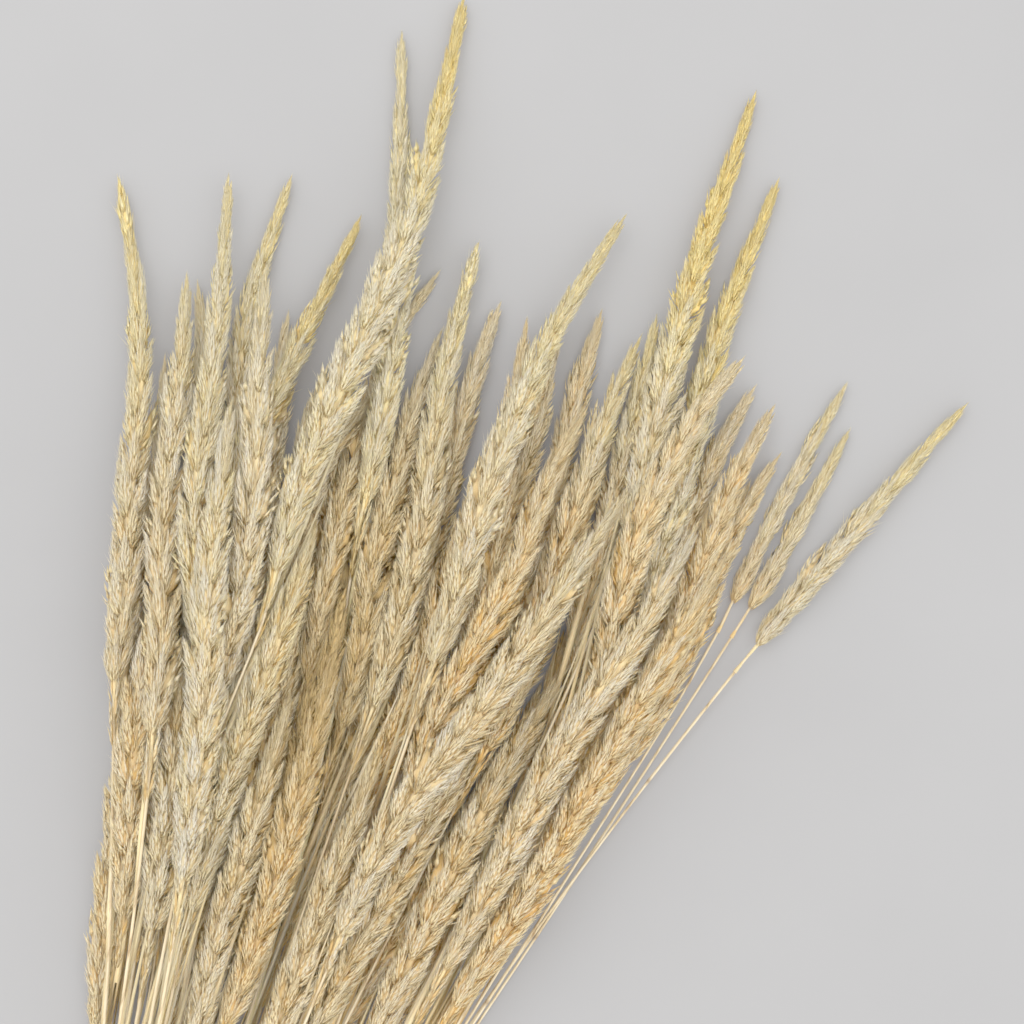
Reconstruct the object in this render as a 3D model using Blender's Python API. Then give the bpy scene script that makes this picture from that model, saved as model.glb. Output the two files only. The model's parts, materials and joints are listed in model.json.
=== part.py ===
"""Dried small-reed: a tied bunch of feathery plumes on straw stems, lying on its side.

Metres, +Z up. The origin is on the flat underside of the band, on the surface. +Y runs
along the bunch from the cut ends to the plume tips, +X to the right seen from above.
"""

import math
from dataclasses import dataclass

import bmesh
import bpy
import numpy as np

MM = 0.001
SEED = 41

# Stems, in millimetres
CULM_FOOT = 1.2
CULM_TOP = 0.95
CULM_PITCH = 2.7
FOOT_LENGTH = 110.0
FOOT_SPREAD = 7.0
FLARE_SIDE = 0.9
FLARE_RISE = 0.12

# Band round the stems
BAND_WIDTH = 8.0
BAND_THICK = 1.4
BAND_GAP = 0.35

# Spacing of the rings along every reed, and where a bare stem has one, counted from the band
STATION = 13.0
CULM_RINGS = (-9, -1, 1, 5, 10, 17, 25, 33, 41)
STRAIGHT_STATIONS = 1

# Plume: share of its half width along its length, foot to tip, for a slim and a full head
PROFILE_AT = (0.0, 0.07, 0.18, 0.34, 0.55, 0.74, 0.88, 1.0)
PROFILE_SLIM = (0.22, 0.50, 0.80, 0.98, 0.88, 0.58, 0.34, 0.14)
PROFILE_FULL = (0.22, 0.50, 0.80, 1.0, 1.0, 0.84, 0.58, 0.18)
CORE_SHARE = 0.40
TUFT_FORWARD = 1.35
TUFT_SHORTEST = 0.86
AROUND = 4
TWIST = 0.21

# The point that the plumes fan out from lies this far above the band
FAN_RISE = 65.0

# Settling of the bunch
LIFT = 12.5
PILE_AT = (300.0, 395.0, 585.0, 765.0)
PILE_SHARE = (0.55, 1.0, 1.0, 0.35)
CLEARANCE = 0.45
SETTLE_STEPS = 420
PACK_STEPS = 260
SINK = 0.10

ROWS = (5, 6, 7, 8, 9, 8, 7, 6, 5)


@dataclass(frozen=True)
class Reed:
    """One reed seen from above: three points of its plume, its size and its depth.

    A point is the angle from the bunch's axis in degrees, positive to the right, and the
    reach in millimetres, both from the fan's own centre. Layer 0 lies lowest, 3 on top.
    A head that is full keeps its width up to its tip, and one that isn't thins out early.
    """

    tip: tuple
    bend: tuple
    body: tuple
    plume: float
    half: float
    layer: float
    full: float = 1.0


REEDS = (
    # left edge and the heads beside it
    Reed((-17.0, 609), (-15.0, 528), (-13.7, 413), 208, 8.2, 1.5, 0.0),
    Reed((-14.4, 536), (-13.9, 502), (-12.6, 393), 178, 7.6, 0.6),
    Reed((-13.9, 571), (-13.4, 503), (-12.4, 377), 195, 8.0, 2.0),
    Reed((-13.3, 568), (-12.3, 533), (-10.8, 379), 190, 7.8, 0.9),
    Reed((-12.7, 614), (-12.2, 566), (-9.8, 414), 205, 8.2, 2.4, 0.3),
    Reed((-10.4, 618), (-11.3, 553), (-9.0, 416), 206, 7.8, 0.7, 0.3),
    Reed((-10.7, 577), (-9.9, 500), (-7.9, 374), 200, 8.2, 1.9),
    Reed((-9.5, 562), (-9.4, 529), (-6.9, 367), 192, 7.8, 1.1),
    Reed((-7.4, 607), (-8.6, 547), (-10.0, 401), 205, 7.8, 1.4, 0.3),
    Reed((-7.5, 559), (-7.5, 532), (-5.6, 369), 190, 7.6, 0.4),
    Reed((-6.9, 543), (-7.2, 490), (-6.2, 359), 182, 7.6, 0.2),
    # tall golden heads in the middle and the pale ones in front of them
    Reed((-7.4, 686), (-5.9, 606), (-3.8, 495), 205, 7.6, 1.2, 0.0),
    Reed((-5.6, 706), (-5.3, 602), (-8.0, 455), 262, 10.2, 3.0, 0.2),
    Reed((-3.8, 593), (-5.1, 552), (-4.1, 406), 192, 7.0, 0.9, 0.0),
    Reed((-3.2, 570), (-3.7, 513), (-2.3, 392), 182, 7.8, 0.9),
    Reed((-4.5, 540), (-7.0, 486), (-7.2, 348), 195, 7.6, 1.3),
    Reed((-2.7, 609), (-2.5, 548), (-0.6, 419), 205, 8.4, 2.6, 0.5),
    Reed((-1.1, 588), (-1.2, 556), (1.6, 398), 195, 7.8, 0.5),
    Reed((0.3, 585), (1.1, 550), (4.6, 393), 196, 8.0, 1.6),
    Reed((1.2, 591), (1.8, 547), (5.3, 414), 185, 7.6, 0.3),
    Reed((2.3, 640), (1.4, 579), (2.4, 445), 208, 8.6, 2.3, 0.3),
    Reed((2.8, 600), (3.3, 551), (6.5, 417), 188, 7.6, 1.0),
    Reed((3.7, 559), (3.1, 520), (4.8, 374), 188, 7.8, 2.1),
    Reed((4.9, 597), (4.8, 522), (5.5, 414), 190, 8.0, 1.8),
    # tall golden pair at the right and the heads below them
    Reed((5.1, 595), (6.0, 578), (11.5, 433), 180, 7.4, 0.2),
    Reed((4.8, 710), (5.7, 629), (8.2, 528), 205, 9.0, 2.2, 0.1),
    Reed((6.8, 681), (7.5, 604), (10.0, 499), 205, 8.4, 1.3, 0.3),
    Reed((5.4, 608), (6.2, 585), (10.0, 454), 170, 7.4, 0.6),
    Reed((8.7, 607), (8.1, 578), (11.4, 431), 190, 8.0, 1.7),
    Reed((9.4, 600), (9.1, 565), (11.6, 424), 185, 7.8, 0.8),
    Reed((10.4, 596), (10.2, 553), (12.5, 425), 180, 7.8, 1.5),
    Reed((11.9, 581), (11.7, 551), (13.3, 439), 160, 7.2, 0.9),
    # thin stray reeds at the right
    Reed((12.7, 621), (13.2, 540), (14.3, 400), 112, 3.8, 0.7),
    Reed((13.8, 606), (14.4, 545), (15.0, 400), 98, 3.6, 0.4),
    Reed((16.9, 643), (16.0, 530), (15.1, 400), 140, 5.8, 0.5, 0.4),
    # lower plumes that cover the middle of the fan
    Reed((7.0, 535), (5.6, 470), (3.1, 347), 215, 9.0, 3.0),
    Reed((10.1, 539), (10.1, 452), (10.6, 356), 225, 8.6, 1.9),
    Reed((11.8, 531), (11.7, 433), (12.1, 367), 225, 8.6, 2.5),
    Reed((5.0, 560), (5.2, 470), (4.2, 350), 245, 8.2, 0.8),
    Reed((2.2, 560), (1.3, 470), (0.6, 350), 240, 8.4, 0.9),
    Reed((-4.3, 545), (-4.2, 470), (-3.7, 380), 215, 8.0, 0.7),
    Reed((-3.5, 455), (-3.6, 403), (-3.6, 363), 165, 8.0, 1.9),
    Reed((-6.2, 480), (-6.6, 423), (-7.4, 360), 185, 8.4, 2.5),
    Reed((-10.5, 520), (-9.7, 456), (-9.1, 397), 200, 8.8, 3.0),
    Reed((-10.2, 470), (-9.8, 410), (-9.9, 345), 165, 8.0, 1.0),
    Reed((-12.0, 475), (-12.2, 400), (-13.0, 330), 176, 8.2, 1.2),
    Reed((-11.0, 445), (-11.0, 382), (-10.9, 322), 152, 8.4, 1.4),
    Reed((-3.7, 430), (-3.8, 350), (-3.8, 290), 168, 8.2, 2.2),
    Reed((2.2, 440), (2.1, 355), (2.1, 290), 185, 8.4, 1.4),
    Reed((4.8, 455), (4.4, 365), (3.7, 300), 190, 8.4, 2.3),
    Reed((8.6, 460), (8.3, 370), (8.6, 305), 190, 8.4, 2.8),
    Reed((10.4, 485), (9.9, 405), (9.8, 335), 200, 8.4, 0.9),
    Reed((-13.2, 470), (-12.6, 417), (-12.4, 352), 164, 7.8, 1.0),
    Reed((1.0, 400), (2.0, 320), (2.6, 270), 170, 8.0, 2.9),
    Reed((-5.9, 410), (-5.8, 320), (-5.4, 265), 162, 8.2, 2.9),
    Reed((-8.6, 440), (-8.4, 360), (-8.4, 290), 195, 8.0, 0.3),
    Reed((-1.6, 540), (-1.2, 440), (-0.9, 330), 240, 8.0, 0.5),
    Reed((6.7, 475), (6.3, 390), (6.1, 310), 195, 8.2, 0.7),
    Reed((-12.4, 425), (-13.0, 350), (-14.0, 290), 185, 8.0, 0.2),
)


def clear_scene():
    """Removes what a new scene starts with."""
    for found in list(bpy.data.objects):
        bpy.data.objects.remove(found, do_unlink=True)


def to_plane(point):
    """Turns an angle and a reach into x and y in millimetres."""
    angle = math.radians(point[0])
    return point[1] * math.sin(angle), point[1] * math.cos(angle) + FAN_RISE


def smooth_path(knots, at):
    """Passes a curve with no overshoot through the knots, read at each y."""
    ys = np.array([knot[1] for knot in knots])
    xs = np.array([knot[0] for knot in knots])
    rise = np.diff(xs) / np.diff(ys)
    slope = np.concatenate([[0.6 * rise[0]], 0.5 * (rise[1:] + rise[:-1]), [rise[-1] * 1.1]])
    cell = np.clip(np.searchsorted(ys, at) - 1, 0, len(ys) - 2)
    width = ys[cell + 1] - ys[cell]
    t = np.clip((at - ys[cell]) / width, 0.0, 1.3)
    start = xs[cell] * (2 * t**3 - 3 * t**2 + 1) + slope[cell] * width * (t**3 - 2 * t**2 + t)
    end = xs[cell + 1] * (3 * t**2 - 2 * t**3) + slope[cell + 1] * width * (t**3 - t**2)
    return start + end


def slots():
    """Gives each reed its place among the stems in the band, low layers in the low rows."""
    order = sorted(range(len(REEDS)), key=lambda i: REEDS[i].layer)
    centre = BAND_THICK + BAND_GAP + CULM_FOOT + CULM_PITCH * math.sqrt(0.75) * 4
    place = np.zeros((len(REEDS), 2))
    for row, size in enumerate(ROWS):
        members = sorted(order[:size], key=lambda i: REEDS[i].body[0])
        order = order[size:]
        for column, reed in enumerate(members):
            place[reed, 0] = (column - (len(members) - 1) / 2) * CULM_PITCH
            place[reed, 1] = centre + (row - 4) * CULM_PITCH * math.sqrt(0.75)
    return place, centre


class Layout:
    """Where every reed runs, settled so that none of them meets another."""

    def __init__(self):
        self.place, self.centre = slots()
        self.tips = np.array([to_plane(reed.tip) for reed in REEDS])
        last = int(math.ceil(self.tips[:, 1].max() / STATION))
        self.index = np.arange(CULM_RINGS[0], last + 1)
        self.ys = self.index * STATION
        self.tip_y = self.tips[:, 1]
        self.base = np.array([
            round((tip - reed.plume * math.cos(math.radians(reed.tip[0]))) / STATION)
            for tip, reed in zip(self.tip_y, REEDS)
        ])
        self.last = np.ceil(self.tip_y / STATION).astype(int) - 1
        self.across = np.stack([self.target_side(i) for i in range(len(REEDS))])
        self.radius = np.stack([self.radius_at(i, self.ys) for i in range(len(REEDS))])
        self.height = np.stack([self.target_height(i) for i in range(len(REEDS))])
        self.live = self.index[None, :] <= self.last[:, None] + 1
        self.free = self.index > STRAIGHT_STATIONS
        self.keep = np.stack([self.projection(i) for i in range(len(REEDS))])

    def target_side(self, i):
        """Reads one reed's sideways place at every station."""
        reed = REEDS[i]
        side = self.place[i, 0]
        knots = [(side, STRAIGHT_STATIONS * STATION)]
        knots += [to_plane(reed.body), to_plane(reed.bend), to_plane(reed.tip)]
        path = smooth_path(knots, self.ys)
        below = self.ys < knots[0][1]
        spread = 1 + FLARE_SIDE * np.clip(-self.ys - STATION, 0, None) / FOOT_LENGTH
        return np.where(below, side * spread, path)

    def share(self, i, ys):
        """Says how far along its plume a reed is at each y, from foot to tip."""
        foot = self.base[i] * STATION
        return (ys - foot) / (self.tip_y[i] - foot)

    def culm_radius(self, ys):
        """Thins a stem from its cut end to its plume."""
        return np.interp(ys, (0.0, 480.0), (CULM_FOOT, CULM_TOP))

    def radius_at(self, i, ys):
        """Reads how far a reed and its tufts reach from their own line."""
        share = self.share(i, ys)
        full = REEDS[i].full
        wide = (1 - full) * np.array(PROFILE_SLIM) + full * np.array(PROFILE_FULL)
        plume = REEDS[i].half * np.interp(share, PROFILE_AT, wide)
        return np.where(share < -0.001, self.culm_radius(ys), np.maximum(plume, 0.3))

    def target_height(self, i):
        """Reads one reed's wished height: its place in the band, then its layer."""
        level = self.place[i, 1]
        pile = self.radius[i] + REEDS[i].layer * LIFT * np.interp(self.ys, PILE_AT, PILE_SHARE)
        blend = np.clip((self.ys - STATION) / (PILE_AT[0] - STATION), 0, 1)
        below = np.clip(-self.ys - STATION, 0, None) / FOOT_LENGTH
        rest = self.centre + (level - self.centre) * (1 + FLARE_RISE * below)
        return rest * (1 - blend) + pile * blend

    def rings(self, i):
        """Lists the stations where one reed has a ring of its own."""
        stem = [ring for ring in CULM_RINGS if ring < self.base[i]]
        if self.base[i] - stem[-1] < 3:
            stem.pop()
        return stem + list(range(self.base[i], self.last[i] + 1))

    def projection(self, i):
        """Makes the matrix that lets one reed bend at its own rings only."""
        rings = np.array(self.rings(i) + list(range(self.last[i] + 1, self.index[-1] + 1)))
        basis = np.stack([
            np.interp(self.index, rings, np.eye(len(rings))[k]) for k in range(len(rings))
        ], axis=1)
        return basis @ np.linalg.inv(basis.T @ basis) @ basis.T

    def push(self, x, z, reach, strength):
        """Moves reeds that are too near one another apart, at every station."""
        dx = x[:, None, :] - x[None, :, :]
        dz = z[:, None, :] - z[None, :, :]
        far = np.sqrt(dx * dx + dz * dz) + 1e-6
        near = reach[:, None, :] + reach[None, :, :] + CLEARANCE - far
        both = self.live[:, None, :] & self.live[None, :, :]
        both &= ~np.eye(len(x), dtype=bool)[:, :, None]
        near = np.where(both & (near > 0), near, 0.0)
        x += strength * (near * dx / far).sum(axis=1)
        z += strength * (near * dz / far).sum(axis=1)
        return near.max()

    def settle(self):
        """Lets the bunch settle: each reed is drawn to its place, pushed off the others."""
        x, z = self.across.copy(), self.height.copy()
        slope = np.gradient(self.across, STATION, axis=1)
        reach = self.radius * np.sqrt(1 + slope**2)
        still = ~self.free
        plume = self.index[None, :] >= self.base[:, None]
        total = SETTLE_STEPS + PACK_STEPS
        for step in range(total):
            packing = step >= SETTLE_STEPS
            if not packing:
                x += 0.03 * (self.across - x)
                z += 0.02 * (self.height - z) * (step < SETTLE_STEPS // 2)
                z -= SINK * plume * (step >= SETTLE_STEPS // 2)
            self.push(x, z, reach, 0.22)
            z = np.maximum(z, reach)
            x = np.einsum("nij,nj->ni", self.keep, x)
            z = np.einsum("nij,nj->ni", self.keep, z)
            soft = 0.16 if not packing else 0.05 * (step < total - 90)
            for line, goal in ((x, self.across), (z, 0.0)):
                off = line - goal
                off[:, 1:-1] += soft * (off[:, 2:] + off[:, :-2] - 2 * off[:, 1:-1])
                line[:] = off + goal
            x[:, still] = self.across[:, still]
            z[:, still] = self.height[:, still]
        self.x, self.z, self.reach = x, z, reach
        self.x = np.einsum("nij,nj->ni", self.keep, x)
        self.z = np.einsum("nij,nj->ni", self.keep, z)
        return self.worst()

    def worst(self):
        """Measures the deepest meeting of two reeds that is left, in millimetres."""
        x, z = self.x.copy(), self.z.copy()
        return self.push(x, z, self.reach, 0.0) - CLEARANCE

    def point(self, i, y):
        """Reads where the line of one reed is at a y, as x, y and z."""
        return np.array([
            np.interp(y, self.ys, self.x[i]),
            y,
            np.interp(y, self.ys, self.z[i]),
        ])


def ring_frame(before, after):
    """Gives the two directions across a reed that runs from one point to the next."""
    along = (after - before) / np.linalg.norm(after - before)
    side = np.cross(along, (0.0, 0.0, 1.0))
    side /= np.linalg.norm(side)
    return side, np.cross(side, along)


def ring_points(layout, i, y, radius, turn):
    """Places the corners of one ring of a reed."""
    side, rise = ring_frame(layout.point(i, y - 6), layout.point(i, y + 6))
    centre = layout.point(i, y)
    corners = []
    for k in range(AROUND):
        angle = turn + 2 * math.pi * k / AROUND
        corners.append(centre + radius * (math.cos(angle) * side + math.sin(angle) * rise))
    return corners


def tuft_point(layout, i, y, turn, rng):
    """Places the point of one tuft, ahead of the cell that it grows from."""
    tip = layout.tip_y[i]
    ahead = y + min(TUFT_FORWARD * STATION * rng.uniform(0.85, 1.15), 0.8 * (tip - y))
    ahead = min(ahead, tip - 1.0)
    radius = layout.radius_at(i, np.array([ahead]))[0] * rng.uniform(TUFT_SHORTEST, 1.0)
    side, rise = ring_frame(layout.point(i, ahead - 6), layout.point(i, ahead + 6))
    angle = turn + rng.uniform(-0.12, 0.12)
    return layout.point(i, ahead) + radius * (math.cos(angle) * side + math.sin(angle) * rise)


def stem_rings(layout, i, bm, foot):
    """Makes the rings of the bare stem, from the cut end to the foot of the plume."""
    rings = []
    for index in layout.rings(i):
        if index >= layout.base[i]:
            break
        y = foot if index == CULM_RINGS[0] else index * STATION
        radius = layout.culm_radius(y)
        corners = ring_points(layout, i, y, radius, 0.0)
        rings.append([bm.verts.new(corner * MM) for corner in corners])
    return rings


def join_rings(bm, low, high):
    """Closes the wall between two rings with their corners in line."""
    for k in range(AROUND):
        n = (k + 1) % AROUND
        bm.faces.new((low[k], low[n], high[n], high[k]))


def plume_rings(layout, i, bm):
    """Makes the rings of the core that the tufts stand on, each turned half a cell."""
    rings, turns = [], []
    for count, index in enumerate(range(layout.base[i], layout.last[i] + 1)):
        y = index * STATION
        turn = math.pi / AROUND * count + TWIST * count
        radius = CORE_SHARE * layout.radius_at(i, np.array([y]))[0]
        if count == 0:
            radius = layout.culm_radius(y)
        corners = ring_points(layout, i, y, radius, turn)
        rings.append([bm.verts.new(corner * MM) for corner in corners])
        turns.append(turn)
    return rings, turns


def grow_tufts(layout, i, bm, rings, turns, rng):
    """Covers the core with tufts that lean forward, one on each diamond-shaped cell."""
    for j in range(len(rings) - 2):
        low, middle, high = rings[j], rings[j + 1], rings[j + 2]
        y = (layout.base[i] + j + 1) * STATION
        for k in range(AROUND):
            left, right = middle[k], middle[(k - 1) % AROUND]
            top = high[(k - 1) % AROUND]
            point = tuft_point(layout, i, y, turns[j] + TWIST + 2 * math.pi * k / AROUND, rng)
            apex = bm.verts.new(point * MM)
            loop = (low[k], left, top, right)
            for a in range(4):
                bm.faces.new((loop[a], loop[(a + 1) % 4], apex))


def make_reed(layout, i):
    """Builds one reed, stem and plume, as one closed solid."""
    rng = np.random.default_rng(SEED + 100 + i)
    foot = -FOOT_LENGTH + rng.uniform(-FOOT_SPREAD, FOOT_SPREAD)
    bm = bmesh.new()
    stems = stem_rings(layout, i, bm, foot)
    cores, turns = plume_rings(layout, i, bm)
    bm.faces.new(list(reversed(stems[0])))
    for low, high in zip(stems, stems[1:] + [cores[0]]):
        join_rings(bm, low, high)
    for k in range(AROUND):
        bm.faces.new((cores[0][k], cores[0][(k + 1) % AROUND], cores[1][k]))
    grow_tufts(layout, i, bm, cores, turns, rng)
    above, below = cores[-1], cores[-2]
    tip = bm.verts.new(layout.point(i, layout.tip_y[i]) * MM)
    for k in range(AROUND):
        n = (k + 1) % AROUND
        bm.faces.new((below[n], above[n], above[k]))
        bm.faces.new((above[k], above[n], tip))
    bmesh.ops.triangulate(bm, faces=bm.faces[:])
    bmesh.ops.recalc_face_normals(bm, faces=bm.faces[:])
    return finish(bm, f"reed_{i + 1:02d}", plume_material(i))


def band_outline(offset, centre):
    """Lists the corners of a six-sided loop with cut corners round the stems."""
    side = 4 * CULM_PITCH * math.sqrt(0.75) + CULM_FOOT + BAND_GAP + offset
    cut = 4 * CULM_PITCH + CULM_FOOT + BAND_GAP + offset
    corners = []
    for k in range(6):
        angle = math.radians(60 * k)
        for turn in (-1, 1):
            out = turn * (side - cut * math.cos(math.radians(30))) / math.sin(math.radians(30))
            x = cut * math.cos(angle) - out * math.sin(angle)
            z = cut * math.sin(angle) + out * math.cos(angle)
            corners.append((x, z + centre))
    return corners


def make_band(layout):
    """Builds the flat band that holds the stems together."""
    bm = bmesh.new()
    inner = band_outline(0.0, layout.centre)
    outer = band_outline(BAND_THICK, layout.centre)
    count = len(inner)
    loops = []
    for outline, y in ((inner, -0.5), (outer, -0.5), (outer, 0.5), (inner, 0.5)):
        loops.append([
            bm.verts.new((x * MM, y * BAND_WIDTH * MM, z * MM)) for x, z in outline
        ])
    for first, second in zip(loops, loops[1:] + loops[:1]):
        for k in range(count):
            n = (k + 1) % count
            bm.faces.new((first[k], first[n], second[n], second[k]))
    bmesh.ops.recalc_face_normals(bm, faces=bm.faces[:])
    return finish(bm, "tie_band", plain_material("band twine", (0.42, 0.32, 0.20), 0.85))


def plain_material(name, colour, roughness):
    """Makes one plain finish."""
    made = bpy.data.materials.new(name)
    made.use_nodes = True
    surface = made.node_tree.nodes["Principled BSDF"]
    surface.inputs["Base Color"].default_value = (*colour, 1.0)
    surface.inputs["Roughness"].default_value = roughness
    return made


def plume_material(i):
    """Makes one reed's straw finish, a little warmer or paler than its neighbour's."""
    warm = 0.5 + 0.5 * math.sin(2.4 * i)
    colour = (0.80 - 0.06 * warm, 0.66 - 0.08 * warm, 0.43 - 0.10 * warm)
    return plain_material(f"straw {i + 1:02d}", colour, 0.85)


def finish(bm, name, material):
    """Turns a built mesh into a named object with its material."""
    mesh = bpy.data.meshes.new(name)
    bm.to_mesh(mesh)
    bm.free()
    mesh.materials.append(material)
    made = bpy.data.objects.new(name, mesh)
    bpy.context.scene.collection.objects.link(made)
    return made


def main():
    """Builds the whole bunch."""
    clear_scene()
    layout = Layout()
    left = layout.settle()
    print(f"deepest meeting left {left:.2f} mm, top {layout.z.max():.0f} mm")
    for i in range(len(REEDS)):
        make_reed(layout, i)
    make_band(layout)


if __name__ == "__main__":
    main()
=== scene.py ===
"""Dried small-reed bunch: feathery plumes on straw stems, tied with twine and laid down.

Every reed of the frame is replaced by one finer piece that keeps its line, its reach and the
places of its tufts. A plume is made of branchlets, and a branchlet of narrow spikelets and
hairs. Lengths are in metres unless a name says otherwise.
"""

import json
import logging
import math
from dataclasses import dataclass, field
from enum import Enum

import bmesh
import bpy
import numpy as np
from bmesh.types import BMesh, BMVert
from bpy.types import Material, Node, NodeSocket, Object
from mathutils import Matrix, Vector

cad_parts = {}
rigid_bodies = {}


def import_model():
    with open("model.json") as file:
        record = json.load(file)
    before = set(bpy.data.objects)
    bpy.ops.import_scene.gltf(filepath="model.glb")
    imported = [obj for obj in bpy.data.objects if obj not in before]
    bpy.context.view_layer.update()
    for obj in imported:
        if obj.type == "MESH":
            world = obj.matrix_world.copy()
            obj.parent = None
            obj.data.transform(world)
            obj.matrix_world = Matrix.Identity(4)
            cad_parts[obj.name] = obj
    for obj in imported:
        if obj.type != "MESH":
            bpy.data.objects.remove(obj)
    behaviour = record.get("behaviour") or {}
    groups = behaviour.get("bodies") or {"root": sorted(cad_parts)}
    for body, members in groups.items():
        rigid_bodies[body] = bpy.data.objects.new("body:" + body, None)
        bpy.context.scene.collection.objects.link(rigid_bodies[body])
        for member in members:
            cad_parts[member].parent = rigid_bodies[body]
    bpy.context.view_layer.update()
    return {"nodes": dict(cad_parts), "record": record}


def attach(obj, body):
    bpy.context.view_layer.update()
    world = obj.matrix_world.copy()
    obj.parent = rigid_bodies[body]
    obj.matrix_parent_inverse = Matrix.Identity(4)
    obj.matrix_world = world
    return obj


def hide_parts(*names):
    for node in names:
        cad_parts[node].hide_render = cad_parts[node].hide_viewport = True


Array = np.ndarray
Rng = np.random.Generator

MM = 0.001
UP = np.array([0.0, 0.0, 1.0])
GOLDEN_ANGLE = math.pi * (3 - math.sqrt(5))
ANY_ANGLE = 6.28
MAP = "OFBake"
KNOT = "knot"
LOWEST = 0.15 * MM

# A reed of the frame has rings of four points. A tuft's point has as many edges. Near the
# reed's tip all such points are tufts, and further down the points of a bare stem aren't.
RING = 4
ALL_TUFTS = 60 * MM
STEM_RING_WIDTH = 2.7 * MM

log = logging.getLogger("small_reed")


class Slot(Enum):
    """The finishes that the record names."""

    WARM = "plume_warm"
    PALE = "plume_pale"
    GREY = "plume_grey"
    GOLDEN = "plume_golden"
    BAND = "band"


def linear(colour: tuple[float, float, float]) -> tuple[float, float, float, float]:
    """Turns a colour of 0 to 255 as seen on a screen into light values.

    Args:
        colour: Red, green and blue.

    Returns:
        The colour as a shader takes it, with full opacity.
    """
    shares = [c / 255 for c in colour]
    light = [s / 12.92 if s < 0.04045 else ((s + 0.055) / 1.055) ** 2.4 for s in shares]
    return (*light, 1.0)


class Value:
    """A number in a shader that takes part in plain arithmetic."""

    def __init__(self, nodes: "Finish", socket: NodeSocket) -> None:
        """Wraps one output socket."""
        self.nodes = nodes
        self.socket = socket

    def _math(self, operation: str, *values: object) -> "Value":
        """Adds one Math node."""
        made = self.nodes.add("ShaderNodeMath", {"operation": operation}, dict(enumerate(values)))
        return Value(self.nodes, made.outputs[0])

    def __add__(self, other: object) -> "Value":
        """Adds."""
        return self._math("ADD", self, other)

    def __radd__(self, other: object) -> "Value":
        """Adds, with the number first."""
        return self._math("ADD", other, self)

    def __sub__(self, other: object) -> "Value":
        """Takes away."""
        return self._math("SUBTRACT", self, other)

    def __rsub__(self, other: object) -> "Value":
        """Takes this value from a number."""
        return self._math("SUBTRACT", other, self)

    def __mul__(self, other: object) -> "Value":
        """Multiplies."""
        return self._math("MULTIPLY", self, other)

    __rmul__ = __mul__

    def clamped(self) -> "Value":
        """Holds the value between 0 and 1."""
        made = self.nodes.add("ShaderNodeClamp", {}, {0: self})
        return Value(self.nodes, made.outputs[0])


class Finish:
    """A material that is built from nodes."""

    def __init__(self, name: str) -> None:
        """Makes a material of this name with its one shader."""
        self.material = bpy.data.materials.new(name)
        self.material.use_nodes = True

    def add(self, kind: str, settings: dict, values: dict) -> Node:
        """Adds one node.

        Args:
            kind: The node's type.
            settings: Its own settings, which are set first. A ramp's stops are pairs of a
                place and a colour.
            values: What goes into its sockets: numbers, sockets or values.

        Returns:
            The node.
        """
        made = self.material.node_tree.nodes.new(kind)
        for name, setting in settings.items():
            if name != "stops":
                setattr(made, name, setting)
                continue
            elements = made.color_ramp.elements
            while len(elements) < len(setting):
                elements.new(0.5)
            for element, (place, colour) in zip(elements, setting):
                element.position = place
                element.color = colour
        for name, value in values.items():
            self._feed(made.inputs[name], value)
        return made

    def _feed(self, socket: NodeSocket, value: object) -> None:
        """Links or sets one input.

        Args:
            socket: The input.
            value: A number, a socket or a value.
        """
        if isinstance(value, Value):
            value = value.socket
        if isinstance(value, NodeSocket):
            self.material.node_tree.links.new(value, socket)
        else:
            socket.default_value = value

    def dressed(self, values: dict) -> Material:
        """Feeds the shader's inputs by their names, and ends the material.

        Args:
            values: What goes into each: a number, a colour, a socket or a value.

        Returns:
            The material.
        """
        shader = self.material.node_tree.nodes["Principled BSDF"]
        for name, value in values.items():
            self._feed(shader.inputs[name], value)
        return self.material

    def ramp(self, factor: object, stops: list) -> NodeSocket:
        """Reads a colour from a ramp, whose stops are pairs of a place and a colour."""
        return self.add("ShaderNodeValToRGB", {"stops": stops}, {0: factor}).outputs[0]

    def blend(self, factor: object, first: object, second: object) -> NodeSocket:
        """Mixes two colours, with the second one's share as the factor."""
        made = self.add("ShaderNodeMix", {"data_type": "RGBA"}, {0: factor, 6: first, 7: second})
        return made.outputs[2]

    def noise(self, size: tuple[float, float, float], detail: float) -> Value:
        """Reads a soft noise fixed to the piece.

        Args:
            size: How many bumps a metre holds along x, y and z.
            detail: How many finer layers it has.

        Returns:
            The noise, from 0 to 1.
        """
        where = self.add("ShaderNodeTexCoord", {}, {}).outputs["Object"]
        placed = self.add("ShaderNodeMapping", {}, {"Vector": where, "Scale": size})
        values = {"Vector": placed.outputs[0], "Scale": 1.0, "Detail": detail}
        made = self.add("ShaderNodeTexNoise", {}, values)
        return Value(self, made.outputs[0])

    def bump(self, height: object, depth: float) -> NodeSocket:
        """Makes the normal of a relief of 0 to 1, as deep as is said."""
        values = {"Height": height, "Distance": depth, "Strength": 1.0}
        return self.add("ShaderNodeBump", {}, values).outputs[0]


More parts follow.
